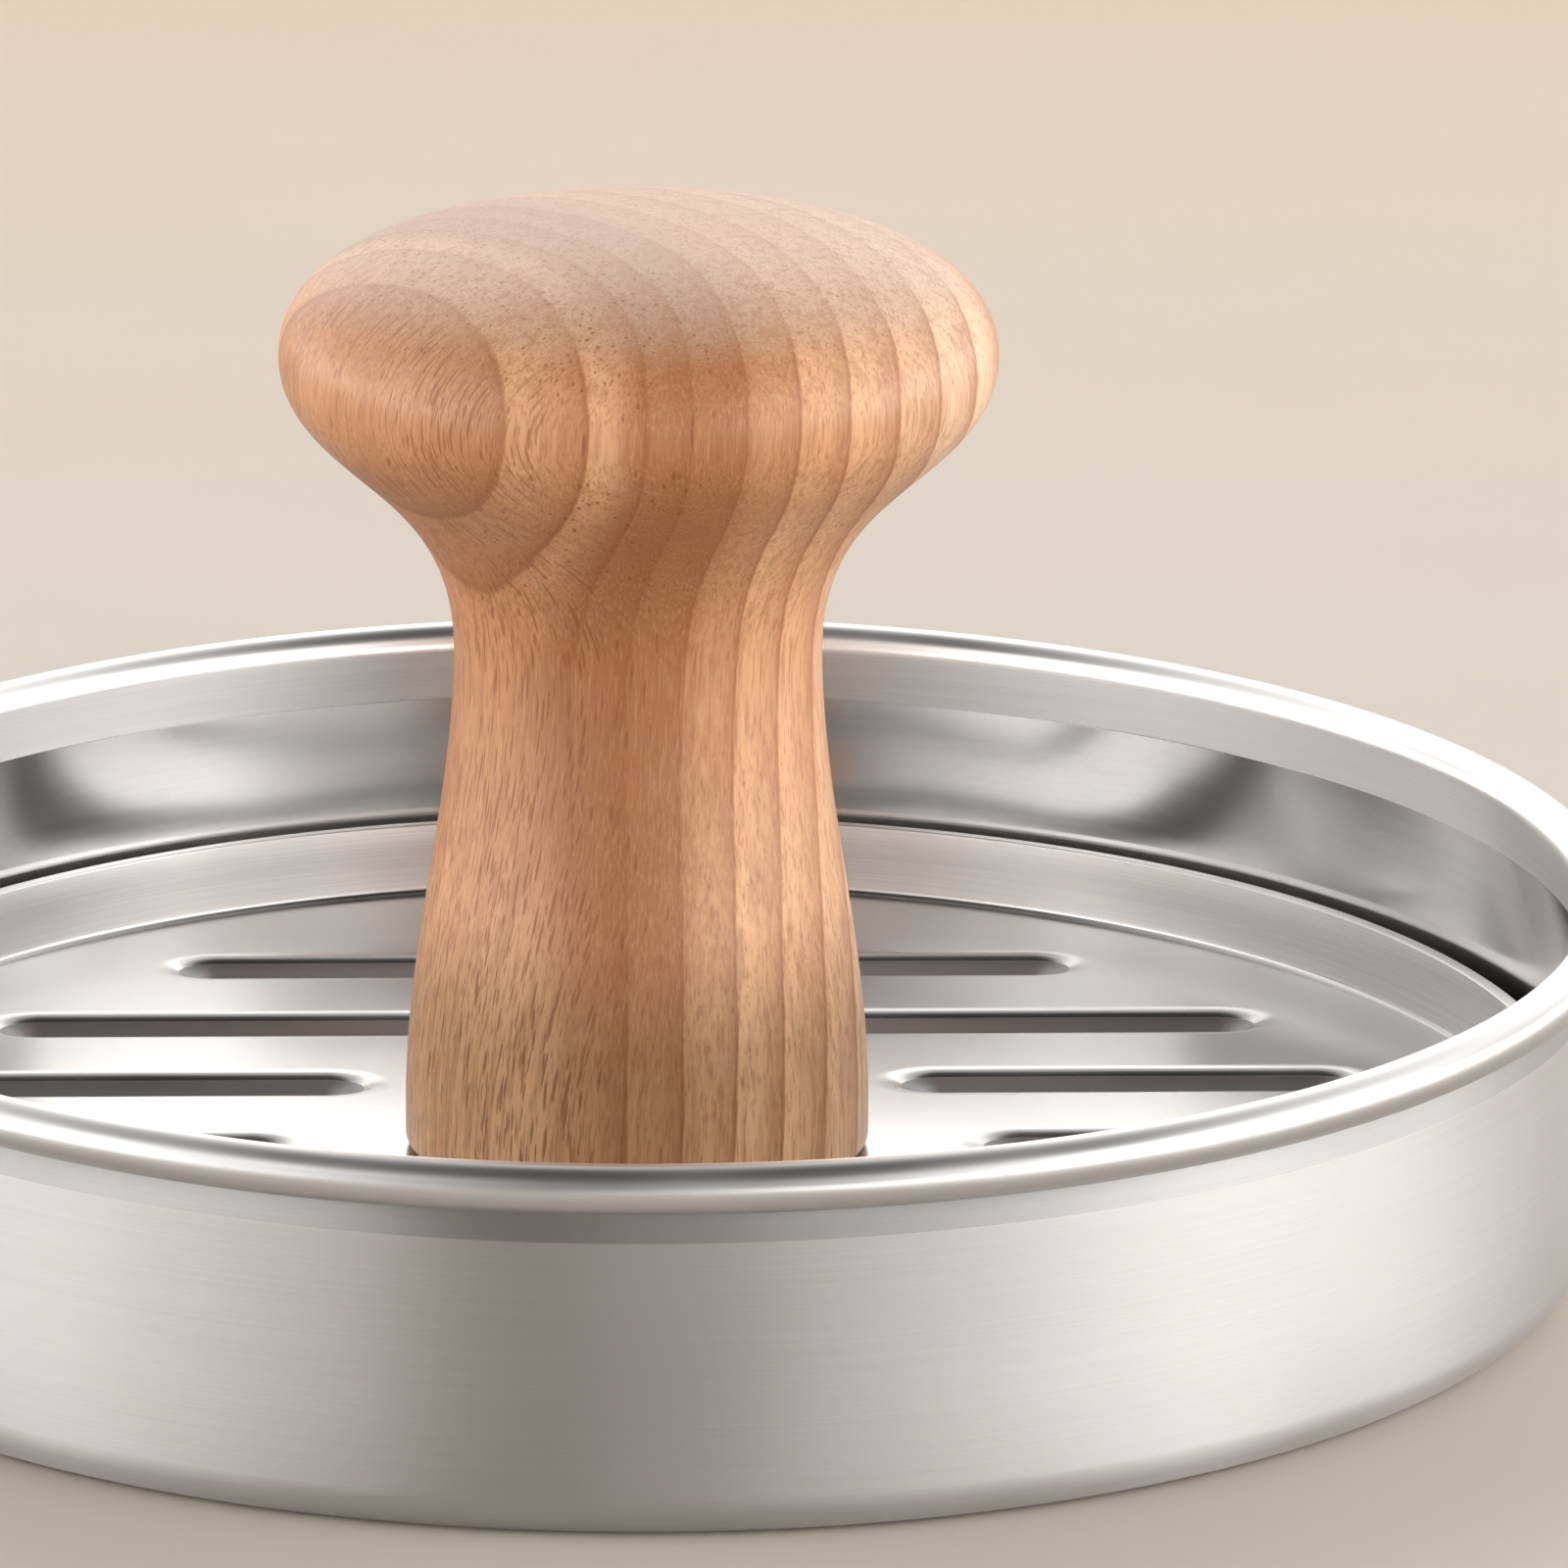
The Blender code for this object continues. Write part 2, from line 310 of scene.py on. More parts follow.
# %% Model one groove
section = groove_section()
lip = section[0][0]
section = [(lip + flat_ring, 0)] + section
start_fresh()
bpy.ops.mesh.primitive_circle_add(
    vertices=round_steps, radius=section[0][0] * MM, fill_type="NOTHING", location=(0, 0, 0)
)
dimple = bpy.context.object
dimple.name = "groove"
open_mesh(dimple)
bpy.ops.transform.resize(value=(end_stretch, 1, 1), center_override=(0, 0, 0))
for (wide, high), (narrow, low) in zip(section, section[1:]):
    bpy.ops.mesh.extrude_region_move(TRANSFORM_OT_translate={"value": (0, 0, (low - high) * MM)})
    ratio = narrow / wide
    bpy.ops.transform.resize(value=(ratio, ratio, 1), center_override=(0, 0, 0))
bpy.ops.mesh.edge_face_add()
close_mesh()
print("groove half-width at the lip:", round(lip, 3), "mm")


# %% Copy the groove to each place
grooves = []
for middle, half_length, row_y in groove_rows(lip):
    only(dimple)
    bpy.ops.object.duplicate()
    groove = bpy.context.object
    open_mesh(groove)
    draw_out = half_length - end_stretch * lip
    for side in (-1, 1):
        pick(groove, "verts", lambda v: v.co.x * side > near_middle * MM)
        bpy.ops.transform.translate(value=(side * draw_out * MM, 0, 0))
    bpy.ops.mesh.select_all(action="SELECT")
    bpy.ops.transform.translate(value=(middle * MM, row_y * MM, plate_top * MM))
    close_mesh()
    grooves.append(groove)
bpy.data.objects.remove(dimple)
print("grooves:", len(grooves))


# %% Model the flange and join the sheet
lean_turn = math.degrees(math.atan2(flange_lean, flange_top - plate_top - flange_corner))
outline = [(flat_edge - flat_lead, plate_top)]
outline += arc((flat_edge, plate_top + flange_corner), flange_corner, -90, -lean_turn, 10)
outline += [(flange_inner - flange_swell[0], plate_top + flange_swell[1])]
outline += [(flange_inner, flange_top)]
plate = turn(draw_outline("grooved_plate", outline), turn_steps)
outline = [(screw_hole, plate_top), (screw_hole + flat_ring, plate_top)]
hole = turn(draw_outline("hole", outline), round_steps)
only(plate)
for part in grooves + [hole]:
    part.select_set(True)
bpy.ops.object.join()
open_mesh(plate)
flat_loops = pick(
    plate,
    "edges",
    lambda e: len(e.link_faces) == 1
    and all(abs(v.co.z - plate_top * MM) < near_flat * MM for v in e.verts)
    and not all(abs(radius_of(v.co) - screw_hole * MM) < near_hole * MM for v in e.verts),
)
bpy.ops.mesh.fill(use_beauty=True)
bpy.ops.mesh.select_all(action="SELECT")
bpy.ops.mesh.normals_make_consistent(inside=False)
close_mesh()
top_up = sum(face.normal.z * face.area for face in plate.data.polygons) > 0
if not top_up:
    open_mesh(plate)
    bpy.ops.mesh.flip_normals()
    close_mesh()
give_thickness(plate, plate_sheet, -1)
rim_edges = soften(
    plate,
    lambda e: e.calc_face_angle(0) > math.radians(crisp_angle)
    and e.verts[0].co.z > (flange_top - flange_rim) * MM,
    width=flange_softening,
    steps=3,
)
smooth(plate, angle=40)
report(plate)
print("edges round the flat:", flat_loops, "edges softened on the flange:", rim_edges)


# %% [markdown]
# ## The handle
#
# The handle is turned from one piece of beech: a foot, a waist that the fingers close round and a
# broad knob for the palm. Three smooth curves make its side. A blind bore takes the screw.

# %% Handle sizes, in millimetres
handle_foot = 5.95
handle_top = 63.5
foot_round = 0.6
straight_side = 2.8
waist = (11.1, 37.0)
knob = (21.6, 55.2)
crown_flat = 14.5
skirt_pull = 0.33
neck_pull = 0.60
knob_pull = 0.36
crown_pull = 0.65
bore = 2.3
bore_middle = 20
bore_end = 28.85
handle_steps = 160


def curve(start, start_pull, end_pull, end, steps):
    """Points of a cubic curve between two ends, each with its pull point."""
    points = []
    for i in range(steps + 1):
        t = i / steps
        weights = ((1 - t) ** 3, 3 * t * (1 - t) ** 2, 3 * t * t * (1 - t), t**3)
        corners = (start, start_pull, end_pull, end)
        points.append(tuple(sum(w * c[k] for w, c in zip(weights, corners)) for k in (0, 1)))
    return points


# %% Model the handle
straight_top = handle_foot + straight_side
skirt = waist[1] - straight_top
neck = knob[1] - waist[1]
crown = handle_top - knob[1]
outline = [(0, bore_end), (bore, bore_end), (bore, bore_middle), (bore, handle_foot)]
outline += arc((foot_radius - foot_round, handle_foot + foot_round), foot_round, -90, 0, 6)
outline += curve(
    (foot_radius, straight_top),
    (foot_radius, straight_top + skirt_pull * skirt),
    (waist[0], waist[1] - skirt_pull * skirt),
    waist,
    24,
)
outline += curve(
    waist,
    (waist[0], waist[1] + neck_pull * neck),
    (knob[0], knob[1] - knob_pull * neck),
    knob,
    28,
)[1:]
outline += curve(
    knob,
    (knob[0], knob[1] + crown_pull * crown),
    (crown_flat, handle_top),
    (0, handle_top),
    26,
)[1:]
handle = turn(draw_outline("turned_handle", outline), handle_steps)
smooth(handle, angle=40)
report(handle)


# %% [markdown]
# ## The screw and its washer
#
# A pan-head wood screw comes up through the middle of the plate into the handle. Only its head
# and washer can be seen, from below when the press is lifted out. The drive recess is a cross cut
# by a tapered bar, once each way.

# %% Screw and washer sizes, in millimetres
screw_seat = 3.25
screw_radius = 2.0
screw_length = 25.0
shank_middle = 12
point_length = 4
head_radius = 4.0
head_height = 1.4
head_flat = 2.2
head_round = 0.9
recess_size = (4.2, 0.9, 1.6)
recess_taper = (0.55, 0.7, 1)
washer_top = 4.35
washer_thickness = 0.8
washer_radius = 5.0
washer_hole = 2.3
washer_edge = 0.15
fastener_steps = 64


# %% Model the screw
head_foot = screw_seat - head_height
screw_end = screw_seat + screw_length
outline = [(0, head_foot), (head_flat, head_foot)]
outline += arc((head_radius - head_round, head_foot + head_round), head_round, -90, 0, 8)[1:]
outline += [(head_radius, screw_seat), (screw_radius, screw_seat)]
outline += [(screw_radius, shank_middle), (screw_radius, screw_end - point_length)]
outline += [(0, screw_end)]
screw = turn(draw_outline("pan_head_screw", outline), fastener_steps)
for quarter in (0, 90):
    start_fresh()
    bpy.ops.mesh.primitive_cube_add(size=MM, location=(0, 0, 0))
    bar = bpy.context.object
    open_mesh(bar)
    bpy.ops.transform.resize(value=recess_size, center_override=(0, 0, 0))
    pick(bar, "faces", lambda f: f.normal.z > 0.5)
    bpy.ops.transform.resize(value=recess_taper, center_override=(0, 0, 0))
    bpy.ops.mesh.select_all(action="SELECT")
    bpy.ops.transform.translate(value=(0, 0, head_foot * MM))
    close_mesh()
    bar.rotation_euler.z = math.radians(quarter)
    only(screw)
    cut = screw.modifiers.new("recess", "BOOLEAN")
    cut.operation = "DIFFERENCE"
    cut.solver = "EXACT"
    cut.object = bar
    bpy.ops.object.modifier_apply(modifier=cut.name)
    bpy.data.objects.remove(bar)
smooth(screw, angle=35)
report(screw)


# %% Model the washer
washer_foot = washer_top - washer_thickness
inside_edge = washer_radius - washer_edge
outline = [(washer_hole, washer_foot), (inside_edge, washer_foot)]
outline += [(washer_radius, washer_foot + washer_edge), (washer_radius, washer_top - washer_edge)]
outline += [(inside_edge, washer_top), (washer_hole, washer_top), (washer_hole, washer_foot)]
washer = turn(draw_outline("flat_washer", outline), fastener_steps)
smooth(washer, angle=35)
report(washer)


# %% [markdown]
# ## Helpers for materials
#
# A material is a small machine of nodes. Each of these functions adds one node, or one short
# chain, and wires its inputs in a line, which keeps the recipes below readable.

# %% Helpers for nodes
def node(tree, kind, inputs=None, **settings):
    """Adds a node, sets its settings, and sets or wires its inputs."""
    made = tree.nodes.new(kind)
    for name, value in settings.items():
        setattr(made, name, value)
    for key, value in (inputs or {}).items():
        if isinstance(value, bpy.types.NodeSocket):
            tree.links.new(value, made.inputs[key])
        else:
            made.inputs[key].default_value = value
    return made


def calc(tree, operation, *values):
    """One step of arithmetic on numbers or sockets."""
    return node(tree, "ShaderNodeMath", dict(enumerate(values)), operation=operation).outputs[0]


def vector(tree, operation, *values):
    """One step of arithmetic on vectors."""
    made = node(tree, "ShaderNodeVectorMath", dict(enumerate(values)), operation=operation)
    return made.outputs["Value" if operation in ("LENGTH", "DOT_PRODUCT") else "Vector"]


def noise(tree, at, scale, detail=2.0, rough=0.5):
    """Soft random values between 0 and 1."""
    made = node(tree, "ShaderNodeTexNoise", {"Vector": at, "Scale": scale})
    made.inputs["Detail"].default_value = detail
    made.inputs["Roughness"].default_value = rough
    return made.outputs["Fac"]


def spread(tree, value, low, high, to_low=0.0, to_high=1.0):
    """Maps a range of values smoothly onto another range."""
    ranges = {"Value": value, "From Min": low, "From Max": high}
    ranges.update({"To Min": to_low, "To Max": to_high})
    made = node(tree, "ShaderNodeMapRange", ranges, interpolation_type="SMOOTHSTEP")
    return made.outputs["Result"]


def blend_colours(tree, amount, first, second, how="MIX"):
    """Mixes two colours by an amount."""
    made = node(tree, "ShaderNodeMix", data_type="RGBA", blend_type=how)
    for place, value in ((0, amount), (6, first), (7, second)):
        if isinstance(value, bpy.types.NodeSocket):
            tree.links.new(value, made.inputs[place])
        else:
            made.inputs[place].default_value = value
    return made.outputs[2]


def colour(red, green, blue):
    """A linear colour with full alpha."""
    return (red, green, blue, 1.0)


def new_material(name):
    """An empty node tree with a Principled shader, and the object's own coordinates in mm."""
    made = bpy.data.materials.new(name)
    made.use_nodes = True
    tree = made.node_tree
    shader = tree.nodes["Principled BSDF"]
    place = node(tree, "ShaderNodeTexCoord").outputs["Object"]
    in_mm = node(tree, "ShaderNodeMapping", {"Vector": place, "Scale": (1000, 1000, 1000)})
    return made, tree, shader, in_mm.outputs["Vector"]


# %% [markdown]
# ## Shared effects on steel
#
# Every steel surface here was rolled, drawn or brushed. Two effects are used by more than one
# finish, so each is built once as a node group. The first makes fine lines that run round the
# axis. The second makes broad soft patches, because sheet metal is never quite even.

# %% Group: turned lines
lines_radius = 58.0


def make_turned_lines():
    """Fine lines round Z. Length is in millimetres at the radius of the dish's wall, and so is
    Spacing."""
    group = bpy.data.node_groups.new("turned lines", "ShaderNodeTree")
    for name, kind in (("Vector", "Vector"), ("Length", "Float"), ("Spacing", "Float")):
        group.interface.new_socket(name, in_out="INPUT", socket_type="NodeSocket" + kind)
    group.interface.new_socket("Lines", in_out="OUTPUT", socket_type="NodeSocketFloat")
    taken = node(group, "NodeGroupInput").outputs
    flat = vector(group, "MULTIPLY", taken["Vector"], (1, 1, 0))
    radius = vector(group, "LENGTH", flat)
    along = vector(group, "SCALE", vector(group, "NORMALIZE", flat))
    stretch = calc(group, "DIVIDE", lines_radius, taken["Length"])
    group.links.new(stretch, along.node.inputs["Scale"])
    parts = node(group, "ShaderNodeSeparateXYZ", {0: taken["Vector"]}).outputs
    across = calc(group, "ADD", parts["Z"], radius)
    across = calc(group, "DIVIDE", across, taken["Spacing"])
    turned = node(group, "ShaderNodeSeparateXYZ", {0: along}).outputs
    at = node(group, "ShaderNodeCombineXYZ", {0: turned["X"], 1: turned["Y"], 2: across})
    lines = noise(group, at.outputs[0], 1.0, 3.0, 0.6)
    node(group, "NodeGroupOutput", {"Lines": lines})
    return group


turned_lines = make_turned_lines()
print("group:", turned_lines.name)


# %% Group: soft patches
def make_patches():
    """Broad soft patches, as a mask between 0 and 1. Patch Size is in millimetres."""
    group = bpy.data.node_groups.new("soft patches", "ShaderNodeTree")
    for name, kind in (("Vector", "Vector"), ("Patch Size", "Float")):
        group.interface.new_socket(name, in_out="INPUT", socket_type="NodeSocket" + kind)
    group.interface.new_socket("Patches", in_out="OUTPUT", socket_type="NodeSocketFloat")
    taken = node(group, "NodeGroupInput").outputs
    patch_at = vector(group, "SCALE", taken["Vector"])
    group.links.new(calc(group, "DIVIDE", 1.0, taken["Patch Size"]), patch_at.node.inputs["Scale"])
    node(group, "NodeGroupOutput", {"Patches": noise(group, patch_at, 1.0, 1.0, 0.4)})
    return group


soft_patches = make_patches()
print("group:", soft_patches.name)


# %% [markdown]
# ## Steel finishes
#
# The outside of the dish is brushed: it is satin, and light is drawn out across the brush lines.
# The strip of it under the roll is the same brushed steel in a darker tone, which is painted shade
# under the roll. The inside of the wall is bright, as the drawing tool left it. The outer half of
# the roll and the floor are plain rolled steel. The inner half of the roll is burnished a little
# smoother, in a much lighter tone which is painted light. The press plate is satin and its flange
# is scuffed. The grooves are rough, because pressing stretched them, and their darker tone is
# painted shade in the grooves.
#
# The roughness of each finish stays on one side of about 0.27. A render's noise filter treats
# sharper and rougher metal differently, and a patch across that border would get an outline.

# %% Steel recipe
noise_range = (0.3, 0.7)
line_roughness = 0.3
line_depth = 0.01
quarter_turn = 0.25


def make_steel(name, tint, rough, patch=0.05, lines=0.0, line_length=20, line_spacing=0.12,
               patch_size=12.0, waves=0.0, relief=0.0, stretch=0.0):
    """A steel finish whose roughness, tone and waviness follow its lines and its patches."""
    made, tree, shader, at = new_material(name)
    marks = node(tree, "ShaderNodeGroup", node_tree=soft_patches)
    tree.links.new(at, marks.inputs["Vector"])
    marks.inputs["Patch Size"].default_value = patch_size
    roughness = spread(tree, marks.outputs["Patches"], *noise_range, rough - patch, rough + patch)
    shader.inputs["Base Color"].default_value = colour(*tint)
    if lines:
        drawn = node(tree, "ShaderNodeGroup", node_tree=turned_lines)
        tree.links.new(at, drawn.inputs["Vector"])
        drawn.inputs["Length"].default_value = line_length
        drawn.inputs["Spacing"].default_value = line_spacing
        line = spread(tree, drawn.outputs["Lines"], *noise_range, -1.0, 1.0)
        tone = calc(tree, "MULTIPLY_ADD", line, lines, 1.0)
        roughness = calc(tree, "MULTIPLY_ADD", line, lines * line_roughness, roughness)
        tinted = blend_colours(tree, 1.0, colour(*tint), tone, "MULTIPLY")
        tree.links.new(tinted, shader.inputs["Base Color"])
    tree.links.new(roughness, shader.inputs["Roughness"])
    if waves:
        wavy = node(tree, "ShaderNodeBump", {"Height": marks.outputs["Patches"], "Strength": 1.0})
        wavy.inputs["Distance"].default_value = waves * MM
        tree.links.new(wavy.outputs["Normal"], shader.inputs["Normal"])
    if lines and relief:
        bump = node(tree, "ShaderNodeBump", {"Height": line, "Strength": relief})
        bump.inputs["Distance"].default_value = line_depth * MM
        if waves:
            tree.links.new(wavy.outputs["Normal"], bump.inputs["Normal"])
        tree.links.new(bump.outputs["Normal"], shader.inputs["Normal"])
    shader.inputs["Metallic"].default_value = 1.0
    shader.inputs["Anisotropic"].default_value = stretch
    if stretch:
        shader.inputs["Anisotropic Rotation"].default_value = quarter_turn
        tangent = node(tree, "ShaderNodeTangent", direction_type="RADIAL", axis="Z")
        tree.links.new(tangent.outputs["Tangent"], shader.inputs["Tangent"])
    return made


# %% Make the steel finishes
brushed = make_steel("brushed steel", (0.55, 0.545, 0.54), 0.37, lines=0.03, relief=0.1, waves=0.04,
                     patch_size=25, stretch=0.92)
# The brushed steel again in a darker tone: painted shade on the outer strip under the roll.
neck_shade = make_steel("dull steel", (0.40, 0.397, 0.392), 0.37, lines=0.03, relief=0.1, waves=0.04,
                  patch_size=25, stretch=0.92)
bright = make_steel("bright steel", (0.72, 0.71, 0.70), 0.12, patch=0.02, lines=0.02,
                    line_spacing=0.35, line_length=30, waves=0.5, patch_size=22)
rolled = make_steel("rolled steel", (0.60, 0.595, 0.59), 0.38, patch=0.04, lines=0.03, waves=0.05)
# A little smoother than rolled steel, in a much lighter tone: painted light on the inner half of the
# roll and the neck under it.
roll_painted_light = make_steel("burnished steel", (0.88, 0.87, 0.86), 0.34, patch=0.04, lines=0.03, waves=0.05)
satin = make_steel("satin steel", (0.52, 0.515, 0.51), 0.24, patch=0.03, waves=0.10)
# Rough from pressing; its darker tone is painted shade in the grooves.
groove_shade = make_steel("pressed steel", (0.34, 0.345, 0.35), 0.55, patch=0.04)
scuffed = make_steel("scuffed steel", (0.72, 0.715, 0.71), 0.44, lines=0.06, waves=0.05)
plated = make_steel("plated steel", (0.62, 0.61, 0.59), 0.37, lines=0.1, line_length=4)
for finish in (brushed, neck_shade, bright, rolled, roll_painted_light, satin, groove_shade, scuffed, plated):
    print(finish.name, "made with", len(finish.node_tree.nodes), "nodes")


# %% [markdown]
# ## Beech
#
# Beech has growth rings, which are nearly flat sheets here because the tree's heart lay well
# outside the blank, and short dark ray flecks that run with the grain. So the pattern is built in
# the tree's own coordinates: distance from the heart, distance round it, and height. Cut through
# by the turned shape, the rings make ovals on the knob, stripes down the shaft and arcs on top,
# from one solid pattern. The colours are laid over each other like thin glazes: first the broad
# tones of the shaft, the foot and the far side, then the rings, and last the fibres and flecks.
# Some broad tones are painted light and shade: the foot is lighter, which is painted light where
# the dish shades it; the side far from the heart is paler, which is painted light on that side; a
# band down the middle of the shaft is darker, which is painted shade; and the faces that look up
# are paler and greyer, which is a painted sheen.

# %% Beech sizes and colours
# Sizes are in millimetres. The heart of the tree lies outside the blank, in front and to the left.
heart = (-42.0, -28.7)
heart_height = 35.0
heart_lean = (0.0484, -0.0234)
middle_radius = 45.0
ring_radii = (20.0, 27.6, 34.1, 38.4, 41.9, 44.6, 47.9, 51.2, 54.4, 57.8, 61.0, 64.4, 68.0)
light_wood = colour(0.90, 0.51, 0.28)
mid_wood = colour(0.78, 0.39, 0.18)
facing_wood = colour(0.55, 0.215, 0.08)
# Painted light: a lighter tone toward the foot, where the dish shades the handle.
painted_foot_light_wood = colour(1.0, 0.60, 0.32)
# Painted light: a paler tone on the side far from the heart, the right of the handle.
painted_light_far_wood = colour(0.93, 0.66, 0.45)
# Painted shade: a darker band down the middle of the shaft.
painted_shade_wood = colour(0.40, 0.140, 0.044)
# Painted sheen: a paler, greyer tone on the faces that look up.
top_sheen_wood = colour(0.53, 0.375, 0.275)
late_wood = colour(0.36, 0.115, 0.03)
streak_wood = colour(0.42, 0.17, 0.06)
dark_fibre = colour(0.34, 0.125, 0.042)
pale_fibre = colour(0.90, 0.62, 0.38)
fleck_wood = colour(0.30, 0.085, 0.018)


# %% Places, rings and flecks in the tree
def place_in_tree(tree, at):
    """Distance from the heart, place in the grain (out, round, up), the way outward and height."""
    parts = node(tree, "ShaderNodeSeparateXYZ", {0: at}).outputs
    rise = calc(tree, "SUBTRACT", parts["Z"], heart_height)
    steps = []
    for axis, start, lean_out in zip("XY", heart, heart_lean):
        offset = calc(tree, "SUBTRACT", parts[axis], start)
        steps.append(calc(tree, "MULTIPLY_ADD", rise, -lean_out, offset))
    from_heart = node(tree, "ShaderNodeCombineXYZ", {0: steps[0], 1: steps[1]}).outputs[0]
    distance = vector(tree, "LENGTH", from_heart)
    turned = calc(tree, "ARCTAN2", steps[1], steps[0])
    around = calc(tree, "MULTIPLY", turned, middle_radius)
    places = {0: distance, 1: around, 2: parts["Z"]}
    grain = node(tree, "ShaderNodeCombineXYZ", places).outputs[0]
    return distance, grain, vector(tree, "NORMALIZE", from_heart), parts["Z"]


def growth_rings(tree, shifted):
    """How late in its year the wood grew, from 0 to 1. Each year ends in a thin dark line."""
    years = node(tree, "ShaderNodeFloatCurve")
    inner, outer, count = ring_radii[0], ring_radii[-1], len(ring_radii) - 1
    span = spread(tree, shifted, inner, outer)
    span.node.interpolation_type = "LINEAR"
    tree.links.new(span, years.inputs["Value"])
    marks = years.mapping.curves[0].points
    for i, radius in enumerate(ring_radii[1:-1], 1):
        marks.new((radius - inner) / (outer - inner), i / count)
    for mark in marks:
        mark.handle_type = "VECTOR"
    years.mapping.update()
    year = calc(tree, "MULTIPLY", years.outputs["Value"], float(count))
    ring = node(tree, "ShaderNodeValToRGB", {"Fac": calc(tree, "FRACT", year)})
    stops = ring.color_ramp.elements
    stops[0].position = 0.0
    stops[0].color = colour(0.60, 0.60, 0.60)
    stops[1].position = 1.0
    stops[1].color = colour(0.70, 0.70, 0.70)
    for position, value in (
        (0.02, 0.10), (0.15, 0.02), (0.40, 0.16), (0.70, 0.42), (0.90, 0.66), (0.97, 1.0)
    ):
        stops.new(position).color = colour(value, value, value)
    return ring.outputs["Color"]


def fleck_mask(tree, at, widest):
    """Small marks of random width, at most one to a cell."""
    cells = node(tree, "ShaderNodeTexVoronoi", {"Vector": at, "Scale": 1.0})
    chance = node(tree, "ShaderNodeSeparateColor", {0: cells.outputs["Color"]}).outputs["Red"]
    reach = spread(tree, chance, 0.30, 1.0, 0.0, widest)
    inside = calc(tree, "SUBTRACT", reach, cells.outputs["Distance"])
    return spread(tree, inside, -0.02, 0.10)


